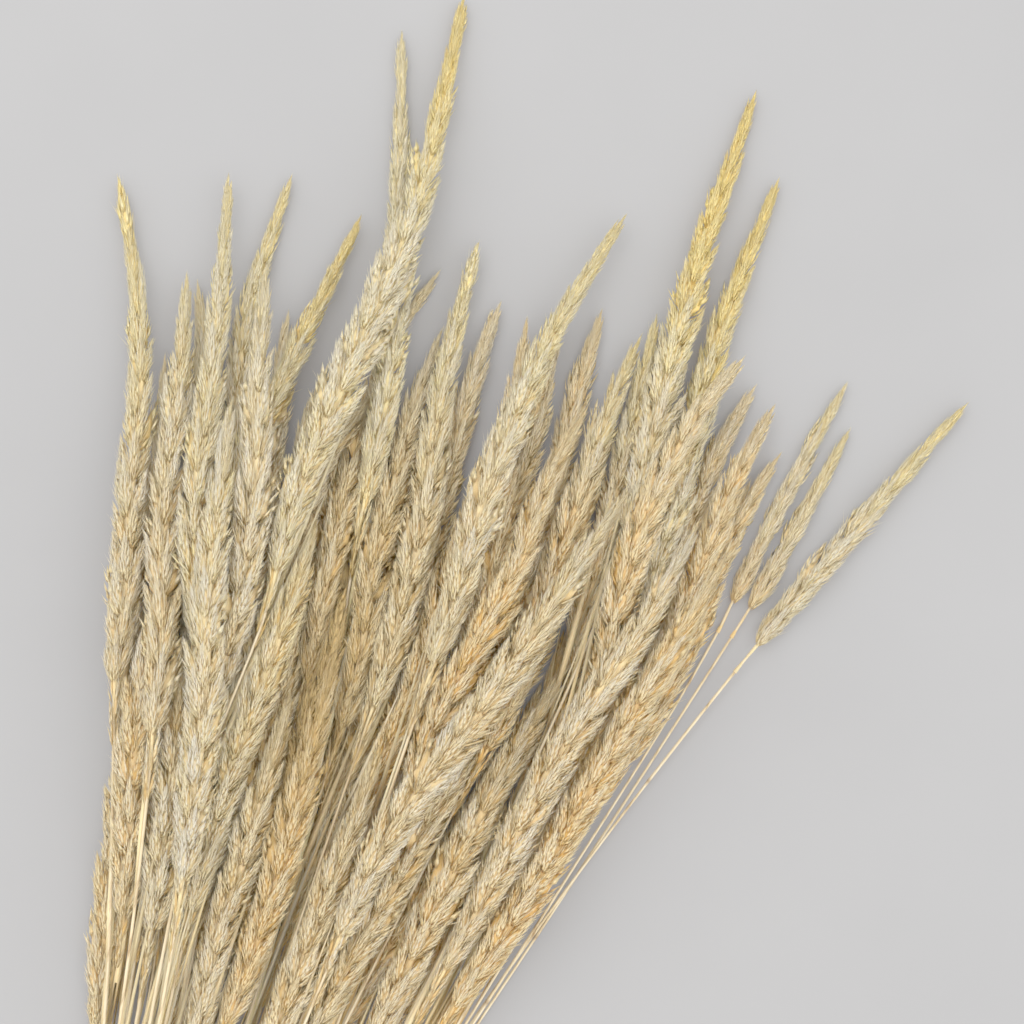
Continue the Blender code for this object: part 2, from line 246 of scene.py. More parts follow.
@dataclass(frozen=True)
class PlumeShades:
    """The dry colours of the plumes, from peach over straw, cream and pale yellow to gold."""

    low: float = 0.02
    tone_span: float = 0.78
    hue_span: float = 0.96
    # Tone runs from deep over middle to light. It holds the plumes' own darker and paler parts, and
    # also the painted shade and painted light carried by their points' tones.
    deep: tuple = ((224, 160, 74), (225, 166, 72), (200, 161, 92), (225, 174, 72), (233, 176, 52))
    middle: tuple = (
        (248, 209, 142), (247, 214, 146), (241, 216, 157), (246, 222, 146), (250, 213, 105),
    )
    light: tuple = (
        (234, 211, 171), (234, 215, 179), (231, 219, 191), (234, 219, 175), (243, 217, 136),
    )
    speck_tone: float = 0.10
    stroke_tone: float = 0.4
    gloss: dict = field(default_factory=lambda: {
        "Roughness": 0.82, "Specular IOR Level": 0.12, "Subsurface Weight": 0.15,
        "Subsurface Radius": (1.0, 0.60, 0.30), "Subsurface Scale": 1.0 * MM,
    })

    def place(self, shade: Array) -> Array:
        """Turns tones and hues of 0 to 1 into places on the map, in the same form."""
        span = np.array([self.tone_span, self.hue_span])
        return self.low + np.clip(shade, 0.0, 1.0) * span

    def stops(self, colours: tuple) -> list:
        """Spreads five colours over a ramp."""
        return [(i / 4, linear(colour)) for i, colour in enumerate(colours)]

    def finish(self, slot: Slot) -> Material:
        """Makes the material that reads tone and hue from the map.

        Args:
            slot: The record's finish that it stands for.

        Returns:
            The material.
        """
        made = Finish(f"{slot.value} spikelets")
        where = made.add("ShaderNodeUVMap", {"uv_map": MAP}, {}).outputs[0]
        parts = made.add("ShaderNodeSeparateXYZ", {}, {0: where}).outputs
        across, up = Value(made, parts[0]), Value(made, parts[1])
        speck = made.noise((700.0, 700.0, 700.0), 2.0)
        stroke = made.noise((2300.0, 210.0, 2300.0), 2.0)
        fine = (speck - 0.5) * self.speck_tone + (stroke - 0.5) * self.stroke_tone
        tone = (across - self.low) * (1 / self.tone_span) + fine
        hue = (up - self.low) * (1 / self.hue_span)
        rows = (self.deep, self.middle, self.light)
        deep, middle, light = [made.ramp(hue, self.stops(row)) for row in rows]
        shaded = made.blend((tone * 2).clamped(), deep, middle)
        colour = made.blend((tone * 2 - 1).clamped(), shaded, light)
        return made.dressed({"Base Color": colour, **self.gloss})


@dataclass(frozen=True)
class StrawShades:
    """The stems' smooth straw, streaked along its length."""

    dark: tuple = (150, 112, 58)
    body: tuple = (220, 194, 142)
    pale: tuple = (232, 215, 174)
    knot: tuple = (128, 92, 50)
    knot_share: float = 0.75
    shine: float = 0.36
    relief: float = 0.00018

    def finish(self) -> Material:
        """Makes the stems' material.

        Returns:
            The material.
        """
        made = Finish("straw stem")
        between = made.noise((420.0, 6.0, 420.0), 2.0)
        streak = made.noise((2600.0, 40.0, 2600.0), 3.0)
        tone = (between - 0.5) * 1.9 + (streak - 0.5) * 0.8 + 0.5
        stops = [(0.0, linear(self.dark)), (0.45, linear(self.body)), (1.0, linear(self.pale))]
        straw = made.ramp(tone.clamped(), stops)
        knot = made.add("ShaderNodeAttribute", {"attribute_name": KNOT}, {}).outputs["Fac"]
        share = Value(made, knot) * self.knot_share
        return made.dressed({
            "Base Color": made.blend(share, straw, linear(self.knot)),
            "Roughness": 0.42 + streak * 0.22,
            "Specular IOR Level": self.shine,
            "Normal": made.bump(streak, self.relief),
        })


@dataclass(frozen=True)
class TwineShades:
    """Dull natural twine."""

    dark: tuple = (112, 84, 52)
    pale: tuple = (178, 146, 102)
    roughness: float = 0.92
    relief: float = 0.00025

    def finish(self) -> Material:
        """Makes the twine's material.

        Returns:
            The material.
        """
        made = Finish("twine")
        fibre = made.noise((3000.0, 3000.0, 3000.0), 4.0)
        wide = made.noise((160.0, 160.0, 160.0), 2.0)
        tone = ((fibre - 0.5) * 1.6 + (wide - 0.5) * 0.8 + 0.5).clamped()
        return made.dressed({
            "Base Color": made.ramp(tone, [(0.0, linear(self.dark)), (1.0, linear(self.pale))]),
            "Roughness": self.roughness,
            "Normal": made.bump(fibre, self.relief),
        })


def put_in_scene(made: Object) -> Object:
    """Puts an object into the scene."""
    bpy.context.scene.collection.objects.link(made)
    return made


def cone(sides: int, top: float) -> BMesh:
    """Starts a shape from a closed cone of unit height and foot that stands on the origin.

    Args:
        sides: How many sides it has.
        top: The radius of its upper end.

    Returns:
        The shape.
    """
    bm = bmesh.new()
    bmesh.ops.create_cone(
        bm, cap_ends=True, cap_tris=False, segments=sides, radius1=1.0, radius2=top, depth=1.0
    )
    bmesh.ops.translate(bm, verts=bm.verts[:], vec=(0, 0, 0.5))
    return bm


def welded(node: Object) -> BMesh:
    """Reads a node of the frame with its loose triangles joined.

    Args:
        node: The node, which stays as it is.

    Returns:
        A copy of its shape.
    """
    bm = bmesh.new()
    bm.from_mesh(node.data)
    bmesh.ops.remove_doubles(bm, verts=bm.verts[:], dist=1e-6)
    return bm


def triangles_of(bm: BMesh) -> tuple[Array, Array]:
    """Reads a small closed shape, and frees it.

    Args:
        bm: The shape.

    Returns:
        Its points, and its triangles, which face outwards.
    """
    bmesh.ops.triangulate(bm, faces=bm.faces[:])
    bmesh.ops.recalc_face_normals(bm, faces=bm.faces[:])
    bm.verts.index_update()
    points = np.array([v.co for v in bm.verts])
    faces = np.array([[v.index for v in face.verts] for face in bm.faces])
    bm.free()
    return points, faces


def unit(vectors: Array) -> Array:
    """Gives vectors a length of one."""
    return vectors / np.maximum(np.linalg.norm(vectors, axis=-1, keepdims=True), 1e-12)


def square_to(way: Array, out: Array) -> Array:
    """Turns each direction until it stands square to its way, with a length of one."""
    return unit(out - way * (out * way).sum(1)[:, None])


def rolled(out: Array, side: Array, turn: Array) -> tuple[Array, Array]:
    """Turns a pair of crossed directions in their own plane."""
    return out * np.cos(turn) + side * np.sin(turn), side * np.cos(turn) - out * np.sin(turn)


def run_of(points: Array) -> Array:
    """Says how far along their line each of the points is."""
    return np.concatenate([[0], np.cumsum(np.linalg.norm(np.diff(points, axis=0), axis=1))])


def frames_of(out: Array, side: Array, along: Array, at: Array) -> Array:
    """Builds matrices from their columns.

    Args:
        out: Where each frame's x goes, with its length.
        side: Where each frame's y goes.
        along: Where each frame's z goes.
        at: Each frame's place.

    Returns:
        One 4 by 4 matrix for each row.
    """
    frames = np.zeros((len(at), 4, 4))
    for column, values in enumerate((out, side, along, at)):
        frames[:, :3, column] = values
    frames[:, 3, 3] = 1
    return frames


@dataclass
class Blades:
    """Triangles with a tone and a hue at every point, ready to be repeated."""

    points: Array
    faces: Array
    shade: Array

    def repeat(self, frames: Array, shifts: Array, bows: Array) -> "Blades":
        """Sets one copy into every frame.

        Args:
            frames: The frames, each a 4 by 4 matrix.
            shifts: What is added to each copy's tone and hue.
            bows: How far each copy's middle, halfway up its own height, bends towards x.

        Returns:
            All copies as one set.
        """
        height = self.points[:, 2]
        top = height.max()
        arch = 4 * height * (top - height) / top**2
        local = np.repeat(self.points[None], len(frames), axis=0)
        local[:, :, 0] += bows[:, None] * arch[None]
        points = np.einsum("kij,knj->kni", frames[:, :3, :3], local) + frames[:, None, :3, 3]
        shade = self.shade[None] + shifts[:, None, :]
        step = len(self.points) * np.arange(len(frames))
        faces = self.faces[None] + step[:, None, None]
        return Blades(points.reshape(-1, 3), faces.reshape(-1, 3), shade.reshape(-1, 2))

    @classmethod
    def joined(cls, parts: list["Blades"]) -> "Blades":
        """Puts several sets into one.

        Args:
            parts: The sets.

        Returns:
            One set, with the points and the triangles in their order.
        """
        starts = np.cumsum([0] + [len(part.points) for part in parts[:-1]])
        return cls(
            np.concatenate([part.points for part in parts]),
            np.concatenate([part.faces + start for part, start in zip(parts, starts)]),
            np.concatenate([part.shade for part in parts]),
        )


@dataclass(frozen=True)
class Spikelet:
    """One narrow spikelet of unit length and width, widest below its middle, with a keel."""

    widest: float = 0.40
    keel: float = 0.24
    flare: float = 0.10
    split: float = 0.014
    # The foot is painted darker, as shade where spikelets crowd, and the tip lighter, as painted
    # light.
    foot_tone: float = -0.40
    tip_tone: float = 0.10

    def blade(self) -> Blades:
        """Builds it from a three-sided cone whose base is drawn out to a point.

        Returns:
            Its triangles.
        """
        bm = cone(3, 0.0)
        corners = sorted(bm.verts, key=lambda v: v.co.z)
        left, right = ((self.keel, y, self.widest) for y in (0.5, -0.5))
        for v, place in zip(corners, ((0, 0, 0), left, right, (self.flare, 0, 1))):
            v.co = place
        # Painted shade at the foot, painted light at the tip.
        shades = (
            (self.foot_tone, 0.0), (0.0, self.split), (0.0, -self.split), (self.tip_tone, 0.0),
        )
        shade_of = dict(zip(corners, shades))
        shade = np.array([shade_of[v] for v in bm.verts])
        return Blades(*triangles_of(bm), shade)


class Cover(Enum):
    """Whether a branchlet lies open to the light, under other reeds, or low on its stem."""

    OPEN = "open"
    UNDER = "under"
    LOW = "low"


@dataclass(frozen=True)
class Rank:
    """Like blades round a branchlet, and how they differ from its spikelets."""

    count: int
    wider: float = 1.0
    more_tilt: float = 0.0
    more_tone: float = 0.03
    longer: float = 1.0


@dataclass(frozen=True)
class Branchlet:
    """One short branch of a plume, packed with spikelets that point forward and outwards."""

    length: float = 24 * MM
    scales: int = 46
    spikelets: int = 46
    hairs: int = 7
    spikelet_length: tuple = (6.4 * MM, 4.8 * MM)
    spikelet_width: tuple = (0.60 * MM, 0.48 * MM)
    tilt_degrees: tuple = (24.0, 2.0)
    start: float = 0.10
    stop: float = 0.86
    core: float = 2.4 * MM
    spindle: tuple = (0.84, 0.84, 0.50)
    spindle_middle: float = 0.41
    spindle_tone: float = -0.40

    def grow(self, rng: Rng) -> Blades:
        """Builds one branchlet along z, with its outer side towards x.

        Args:
            rng: The source of its irregularity.

        Returns:
            Its triangles.
        """
        blade = Spikelet().blade()
        # Painted shade: the inner scales are a little darker than the spikelets over them. The
        # hairs are paler in their own colour.
        scales = Rank(self.scales, wider=1.9, more_tilt=-5.0, more_tone=-0.02)
        hairs = Rank(self.hairs, wider=0.28, more_tilt=7.0, more_tone=0.16, longer=1.3)
        ranks = (scales, Rank(self.spikelets), hairs)
        parts = [self._set_round(blade, rng, rank) for rank in ranks]
        return Blades.joined(parts + [self._spindle()])

    def _set_round(self, blade: Blades, rng: Rng, rank: Rank) -> Blades:
        """Sets one rank of blades round the branch.

        Args:
            blade: The shape of one.
            rng: The source of irregularity.
            rank: What they are like.

        Returns:
            All of them.
        """
        count = rank.count
        share = (np.arange(count) + rng.uniform(0.1, 0.9, count)) / count
        turn = np.arange(count) * GOLDEN_ANGLE + rng.uniform(0, ANY_ANGLE)
        turn = turn % (2 * math.pi) - math.pi
        turn = turn - 0.45 * np.sin(turn) + rng.normal(0, 0.15, count)
        tilt = np.radians(np.interp(share, (0, 1), self.tilt_degrees) + rank.more_tilt)
        tilt += np.radians(rng.normal(0, 4.5, count))
        long = np.interp(share, (0, 1), self.spikelet_length) * rng.uniform(0.82, 1.15, count)
        long *= rank.longer
        wide = rank.wider * np.interp(share, (0, 1), self.spikelet_width)
        wide = (wide * rng.uniform(0.8, 1.2, count))[:, None]
        radial = np.stack([np.cos(turn), np.sin(turn), np.zeros(count)], 1)
        side = np.stack([-np.sin(turn), np.cos(turn), np.zeros(count)], 1)
        along, out = rolled(UP, radial, tilt[:, None])
        out, side = rolled(out, side, rng.normal(0, 0.35, count)[:, None])
        rise = (self.start + (self.stop - self.start) * share) * self.length
        swell = self.core * np.interp(share, (0, 0.4, 1), (0.25, 0.88, 0.08))
        at = radial * swell[:, None] + UP * rise[:, None]
        frames = frames_of(out * wide, side * wide, along * long[:, None], at)
        # Painted shade: spikelets low on the branchlet and on its inner side are darker.
        tone = rng.normal(0, 0.06, count) - 0.12 * (share < 0.25) - 0.10 * (np.cos(turn) < -0.2)
        shifts = np.stack([tone + rank.more_tone, rng.normal(0, 0.035, count)], 1)
        return blade.repeat(frames, shifts, np.zeros(count))

    def _spindle(self) -> Blades:
        """Makes the slim body that closes the gaps between the spikelets, painted dark as shade.

        Returns:
            Its triangles.
        """
        bm = cone(6, 0.0)
        base = [face for face in bm.faces if all(v.co.z < 0.5 for v in face.verts)]
        poked = bmesh.ops.poke(bm, faces=base)
        bmesh.ops.translate(bm, verts=poked["verts"], vec=(0, 0, -0.45))
        size = np.array(self.spindle) * (self.core, self.core, self.length)
        bmesh.ops.scale(bm, verts=bm.verts[:], vec=size)
        rise = self.spindle_middle * self.length
        bmesh.ops.translate(bm, verts=bm.verts[:], vec=(0, 0, rise))
        # Painted shade: the spindle is darker than the spikelets round it.
        tone = self.spindle_tone
        shade = [(tone + 0.05 * (v.index % 3), 0.02 * (v.index % 2)) for v in bm.verts]
        return Blades(*triangles_of(bm), np.array(shade))


@dataclass
class ReedLine:
    """Where one reed of the frame runs, and where its tufts stand."""

    centres: Array
    radii: Array
    foot: float
    roots: Array
    points: Array
    slopes: Array = field(init=False)

    def __post_init__(self) -> None:
        """Works out how the line leans at each of its points."""
        rise = np.diff(self.centres, axis=0)
        lean = rise[:, [0, 2]] / rise[:, 1:2]
        inner = 0.5 * (lean[1:] + lean[:-1])
        self.slopes = np.concatenate([lean[:1], inner, lean[-1:]])

    @classmethod
    def of_node(cls, node: Object) -> "ReedLine":
        """Reads a reed of the frame.

        Args:
            node: The reed's node.

        Returns:
            Its line and tufts.
        """
        bm = welded(node)
        loose = [v for v in bm.verts if len(v.link_edges) == RING]
        top = max(loose, key=lambda v: v.co.y)
        loose.remove(top)
        sure = top.co.y - ALL_TUFTS
        tufts = [v for v in loose if v.co.y > sure or not cls._on_stem(v, bm)]
        near = {v: [edge.other_vert(v) for edge in v.link_edges] for v in tufts}
        foot = min(n.co.y for v in tufts for n in near[v])
        body = [v for v in bm.verts if v not in tufts and v is not top]
        body.sort(key=lambda v: v.co.y)
        corners = np.array([v.co for v in body]).reshape(-1, RING, 3)
        middles = corners.mean(axis=1)
        radii = np.linalg.norm(corners - middles[:, None], axis=2).mean(axis=1)
        centres = np.concatenate([middles, [top.co]])
        roots = np.array([min(n.co.y for n in near[v]) for v in tufts])
        points = np.array([v.co for v in tufts])
        bm.free()
        return cls(centres, np.append(radii, 0.2 * MM), foot, roots, points)

    @staticmethod
    def _on_stem(v: BMVert, bm: BMesh) -> bool:
        """Says whether a point has its three ring mates of a bare stem close by."""
        return sum((other.co - v.co).length < STEM_RING_WIDTH for other in bm.verts) >= RING

    def at(self, y: Array) -> Array:
        """Reads the reed's line at each y.

        Args:
            y: How far along the bunch to read.

        Returns:
            The points.
        """
        ys = self.centres[:, 1]
        cell = np.clip(np.searchsorted(ys, y) - 1, 0, len(ys) - 2)
        span = (ys[cell + 1] - ys[cell])[:, None]
        t = (y[:, None] - ys[cell][:, None]) / span
        ends = self.centres[:, [0, 2]]
        first, last = self.slopes[cell] * span, self.slopes[cell + 1] * span
        start = ends[cell] * (2 * t**3 - 3 * t**2 + 1) + first * (t**3 - 2 * t**2 + t)
        stop = ends[cell + 1] * (3 * t**2 - 2 * t**3) + last * (t**3 - t**2)
        across = start + stop
        return np.stack([across[:, 0], y, across[:, 1]], 1)

    def reach(self, y: Array) -> Array:
        """Reads the radius of the reed's own body at each y."""
        return np.interp(y, self.centres[:, 1], self.radii)

    @property
    def hearts(self) -> Array:
        """Gives the point of the line beside each tuft's own point."""
        return self.at(np.minimum(self.points[:, 1], self.tip - 0.1 * MM))

    def hides(self, points: Array) -> Array:
        """Says which of the points lie straight under this reed's plume."""
        wide, away = self.spread(points)
        return (np.abs(away[:, 0]) < 0.62 * wide) & (away[:, 2] < -1.0 * MM)

    def spread(self, points: Array) -> tuple[Array, Array]:
        """Compares points with the plume at their height.

        Args:
            points: The points to look at.

        Returns:
            How wide the tufts stand there, and the way from the line to each point.
        """
        order = np.argsort(self.points[:, 1])
        reach = np.linalg.norm(self.points - self.hearts, axis=1)[order]
        wide = np.interp(points[:, 1], self.points[order, 1], reach, left=0.0, right=0.0)
        centre = self.at(np.clip(points[:, 1], self.centres[0, 1], self.tip))
        return wide, points - centre

    @property
    def tip(self) -> float:
        """How far along the bunch the reed ends."""
        return float(self.centres[-1, 1])


@dataclass(frozen=True)
class PlumeLook:
    """How one reed's plume is coloured: tone and hue at its foot and at its tip."""

    slot: Slot
    tone: float
    hue: float
    tip_hue: float
    tip_from: float

    def shift(self, share: Array) -> Array:
        """Reads tone and hue along the plume.

        Args:
            share: The place along the plume, from 0 at its foot to 1 at its tip.

        Returns:
            Tone and hue for each.
        """
        ripe = np.clip((share - self.tip_from) / (1 - self.tip_from), 0, 1)
        hue = self.hue + (self.tip_hue - self.hue) * ripe**0.8
        tone = self.tone + 0.04 * ripe - 0.06 * np.clip(0.25 - share, 0, 1) * 4
        return np.stack([tone, hue], 1)


@dataclass
class Plume:
    """The feathery head of one reed.

    Its tones are evened out and lifted by painted light far up in the fan, and a patch of painted
    shade darkens and greys them at one place in the fan's middle.
    """

    line: ReedLine
    look: PlumeLook
    branchlets: dict[Cover, list[Blades]]
    covered: Array
    rng: Rng
    low_branchlets: int = 6
    root_rise: float = 7 * MM
    tip_turns: tuple = (0.9, 4.0)
    tip_length: float = 27 * MM
    tip_reach: float = 3.4 * MM
    full_reach: float = 7.2 * MM
    thinnest: float = 4 * MM
    canon: float = Branchlet.length
    # Painted shade inside and under the plume.
    depth_tone: float = 0.44
    # Painted light far up in the fan, where the tones are also evened out.
    airy_from: float = 0.52
    airy_over: float = 0.15
    airy_pull: float = 0.5
    airy_tone: float = 0.05
    # A patch of painted shade in the fan's middle.
    dusky_at: tuple = (-0.021, 0.500)
    dusky_over: tuple = (0.024, 0.085)
    dusky_tone: float = 0.40
    dusky_hue: float = 0.50
    dusky_pull: float = 0.8

    def build(self) -> Blades:
        """Sets a branchlet where every tuft of the frame stands, two at the tip and some below.

        Returns:
            The plume's triangles.
        """
        roots = self.line.at(self.line.roots + self.root_rise)
        hearts = self.line.hearts
        out = self.line.points - hearts
        reach = np.linalg.norm(out, axis=1)
        stretch = self.rng.uniform(0.92, 1.06, len(out)) + 0.22 * self.covered
        points = hearts + out * stretch[:, None]
        covers = np.where(self.covered, Cover.UNDER, Cover.OPEN)
        parts = self._set_in(roots, points, unit(out), reach, covers)
        tip = self.line.centres[-1:]
        top = covers[np.argmax(self.line.points[:, 1])]
        for turn in self.tip_turns:
            start = self.line.tip - self.tip_length + 3 * MM * math.sin(turn)
            way = np.array([[math.cos(turn), 0.0, math.sin(turn)]])
            root, reach = self.line.at(np.array([start])), np.array([self.tip_reach])
            parts += self._set_in(root, tip, way, reach, np.array([top]))
        if self.low_branchlets:
            parts += self._low()
        plume = Blades.joined(parts)
        self._shade(plume)
        return plume

    def _shade(self, plume: Blades) -> None:
        """Paints shade into the plume's inside and underside, light far up, and a patch of shade.

        Args:
            plume: The plume, whose tones and hues change.
        """
        tone, hue = plume.shade.T
        wide, away = self.line.spread(plume.points)
        wide = np.maximum(wide, self.thinnest)
        # Painted shade: darker towards the plume's inside and on its underside.
        inner = np.clip(1 - np.linalg.norm(away, axis=1) / (0.85 * wide), 0, 1)
        under = np.clip(-away[:, 2] / wide, 0, 1)
        tone -= self.depth_tone * inner + 0.5 * self.depth_tone * under
        # Painted light: far up in the fan the tones are evened out, with less shade, and lifted.
        airy = np.clip((plume.points[:, 1] - self.airy_from) / self.airy_over, 0, 1)
        tone += (self.look.tone - tone) * self.airy_pull * airy + self.airy_tone * airy
        # Painted shade: a soft patch in the fan's middle is darker and greyer.
        off = (plume.points[:, :2] - np.array(self.dusky_at)) / np.array(self.dusky_over)
        shade_patch = np.exp(-(off**2).sum(axis=1))
        tone -= self.dusky_tone * shade_patch
        hue += (self.dusky_hue - hue) * self.dusky_pull * shade_patch

    def _low(self) -> list[Blades]:
        """Sets small branchlets close to the stem, so that the plume tapers into it.

        Returns:
            The placed sets.
        """
        count = self.low_branchlets
        share = (np.arange(count) + self.rng.uniform(0, 0.8, count)) / count
        ys = self.line.foot + (-27 + 30 * share) * MM
        turn = np.arange(count) * GOLDEN_ANGLE + self.rng.uniform(0, ANY_ANGLE)
        way = np.stack([np.cos(turn), np.zeros(count), np.sin(turn)], 1)
        reach = (2.2 + 2.0 * share) * MM
        roots = self.line.at(ys)
        points = self.line.at(ys + self.rng.uniform(19, 27, count) * MM) + way * reach[:, None]
        return self._set_in(roots, points, way, reach, np.full(count, Cover.LOW))

    def _set_in(
        self, roots: Array, points: Array, out: Array, reach: Array, covers: Array
    ) -> list[Blades]:
        """Places branchlets between their roots and their points.

        Args:
            roots: Where each one starts.
            points: Where each one ends.
            out: The way from the plume's heart to each one.
            reach: How far each one's end stands off the heart.
            covers: How open each one lies.

        Returns:
            The placed sets, one for each shape in use.
        """
        count = len(roots)
        along = points - roots
        length = np.linalg.norm(along, axis=1)
        along = along / length[:, None]
        out = square_to(along, out)
        side = np.cross(along, out)
        out, side = rolled(out, side, self.rng.normal(0, 0.3, count)[:, None])
        wide = np.clip((reach / self.full_reach) ** 0.6, 0.42, 1.12)
        wide *= self.rng.uniform(0.92, 1.12, count)
        wide = (wide * np.where(covers == Cover.UNDER, 1.5, 1.0))[:, None]
        tall = (length / self.canon)[:, None]
        frames = frames_of(out * wide, side * wide, along * tall, roots)
        share = (points[:, 1] - self.line.foot) / (self.line.tip - self.line.foot)
        shifts = self.look.shift(share)
        shifts[:, 0] += self.rng.normal(0, 0.085, count)
        shifts[:, 1] += self.rng.normal(0, 0.035, count)
        # Painted shade: branchlets on the plume's underside or under other reeds are darker.
        shifts[:, 0] -= 0.10 * (covers == Cover.UNDER)
        bows = self.rng.uniform(-1.0, 0.8, count) * MM
        kind = self.rng.integers(0, len(self.branchlets[Cover.OPEN]), count)
        sets = []
        for cover, shapes in self.branchlets.items():
            for number, branchlet in enumerate(shapes):
                mine = (kind == number) & (covers == cover)
                if mine.any():
                    sets.append(branchlet.repeat(frames[mine], shifts[mine], bows[mine]))
        return sets


@dataclass(frozen=True)
class Tube:
    """A round straw that is made straight and then bent along a line."""

    sides: int
    hollow: bool = False
    wall: float = 0.36
    hole: float = 0.3

    def build(self, spine: Array, out: Array, radii: Array) -> "Skin":
        """Builds it.

        Args:
            spine: The points that it follows.
            out: A direction across it, one for all points or one for each.
            radii: Its radius at each point.

        Returns:
            Its closed skin.
        """
        straight, faces = self._straight(len(spine))
        height = straight[:, 2] * (len(spine) - 1)
        step = np.arange(len(spine))
        way = unit(np.gradient(spine, axis=0))
        out = square_to(way, out)
        side = np.cross(way, out)

        def read(values: Array) -> Array:
            """Reads a row of values at every point's height."""
            return np.stack([np.interp(height, step, values[:, k]) for k in range(3)], 1)

        across = straight[:, :2] * np.interp(height, step, radii)[:, None]
        points = read(spine) + read(out) * across[:, :1] + read(side) * across[:, 1:]
        turn = (np.arctan2(straight[:, 1], straight[:, 0]) / (2 * math.pi)) % 1.0
        return Skin(points, faces, turn, straight[:, 2])

    def _straight(self, count: int) -> tuple[Array, Array]:
        """Makes the straight tube, of unit radius and height, with a hole in a hollow one's end.

        Args:
            count: How many rings of points it has.

        Returns:
            Its points and its triangles.
        """
        bm = cone(self.sides, 1.0)
        upright = [e for e in bm.edges if abs(e.verts[0].co.z - e.verts[1].co.z) > 0.5]
        bmesh.ops.subdivide_edges(bm, edges=upright, cuts=count - 2, use_grid_fill=True)
        if self.hollow:
            ends = [face for face in bm.faces if all(v.co.z < 1e-4 for v in face.verts)]
            bmesh.ops.inset_region(bm, faces=ends, thickness=self.wall, use_even_offset=True)
            inner = bmesh.ops.extrude_discrete_faces(bm, faces=ends)["faces"]
            bmesh.ops.translate(bm, verts=list(inner[0].verts), vec=(0, 0, self.hole / count))
        return triangles_of(bm)


@dataclass
class Skin:
    """A bent tube's triangles, with each point's turn round it and height along it."""

    points: Array
    faces: Array
    turn: Array
    height: Array

    def unrolled(self, strip: tuple[float, float]) -> Array:
        """Lays the skin out as an upright strip of the map.

        Args:
            strip: The strip's left and right edge.

        Returns:
            A place for each corner of each triangle.
        """
        low, high = strip
        turn = self.turn[self.faces]
        wraps = (turn.max(1) - turn.min(1) > 0.5)[:, None] & (turn < 0.5)
        across = low + (high - low) * (turn + wraps) / 1.2
        return np.stack([across, 0.01 + 0.98 * self.height[self.faces]], 2)


@dataclass
class Stem:
    """The round straw of one reed, from its cut end into the heart of its plume."""

    line: ReedLine
    rng: Rng
    sides: int = 8
    step: float = 12 * MM
    into_plume: float = 22 * MM
    thickest: float = 1.25 * MM
    slim: float = 0.56
    knots_apart: float = 0.155
    knot_reach: float = 1.4 * MM
    knot_swell: float = 0.30
    knot_rings_mm: tuple = (-2.2, -1.1, 0.0, 1.1, 2.2)
    sheath_length: float = 0.09
    sheath_swell: float = 0.16

    def build(self) -> tuple[Skin, Array]:
        """Builds the straw with its knots.

        Returns:
            Its skin, and how much of a knot each of its points is.
        """
        start, end = float(self.line.centres[0, 1]), self.line.foot + self.into_plume
        first = start + self.rng.uniform(40, 120) * MM
        knots = np.arange(first, end - 60 * MM, self.knots_apart)
        knots = knots + self.rng.uniform(-20, 20, len(knots)) * MM
        rings = (knots[:, None] + np.array(self.knot_rings_mm) * MM).ravel()
        ys = np.sort(np.concatenate([np.arange(start, end, self.step), [end], rings]))
        sheath = np.zeros(len(ys))
        for knot in knots:
            above = ys - knot
            thinning = np.clip(1 - above / self.sheath_length, 0, 1)
            sheath = sheath + np.clip(above / (2 * MM), 0, 1) * thinning
        bare = np.minimum(self.line.reach(np.minimum(ys, self.line.foot)), self.thickest)
        swell = 1 + self.knot_swell * self._marks(ys, knots) + self.sheath_swell * sheath
        skin = Tube(self.sides, True).build(self.line.at(ys), UP, bare * self.slim * swell)
        at = np.interp(skin.height * (len(ys) - 1), np.arange(len(ys)), ys)
        return skin, self._marks(at, knots)

    def _marks(self, ys: Array, knots: Array) -> Array:
        """Says how much of a knot there is along the straw.

        Args:
            ys: Where to look.
            knots: Where the knots are.

        Returns:
            For each place, 1 in a knot's middle and 0 away from all knots.
        """
        if len(knots) == 0:
            return np.zeros(len(ys))
        near = np.abs(ys[:, None] - knots[None]).min(1)
        return np.clip(1 - near / (self.knot_reach * 1.5), 0, 1)


@dataclass
class Heart:
    """The slim body in the middle of a plume, painted dark as the shade inside it."""

    line: ReedLine
    look: PlumeLook
    rng: Rng
    sides: int = 6
    rings: int = 24
    share: float = 0.60
    thinnest: float = 0.5 * MM
    ends: tuple = (0.9 * MM, 0.4 * MM)
    # How much darker the heart is painted, as the shade inside the plume.
    tone: float = 0.26

    def build(self) -> Blades:
        """Builds it along the plume's line.

        Returns:
            Its triangles.
        """
        start, end = self.line.foot - 4 * MM, self.line.tip - 6 * MM
        ys = np.linspace(start, end, self.rings)
        radii = np.maximum(self.line.reach(ys) * self.share, self.thinnest)
        radii *= self.rng.uniform(0.85, 1.1, len(ys))
        radii[0], radii[-1] = self.ends
        skin = Tube(self.sides).build(self.line.at(ys), UP, radii)
        shade = self.look.shift(skin.height)
        # Painted shade: the heart is darker than the plume round it.
        shade[:, 0] -= self.tone + self.rng.uniform(0, 0.14, len(shade))
        shade[:, 1] += self.rng.uniform(-0.03, 0.03, len(shade))
        return Blades(skin.points, skin.faces, shade)


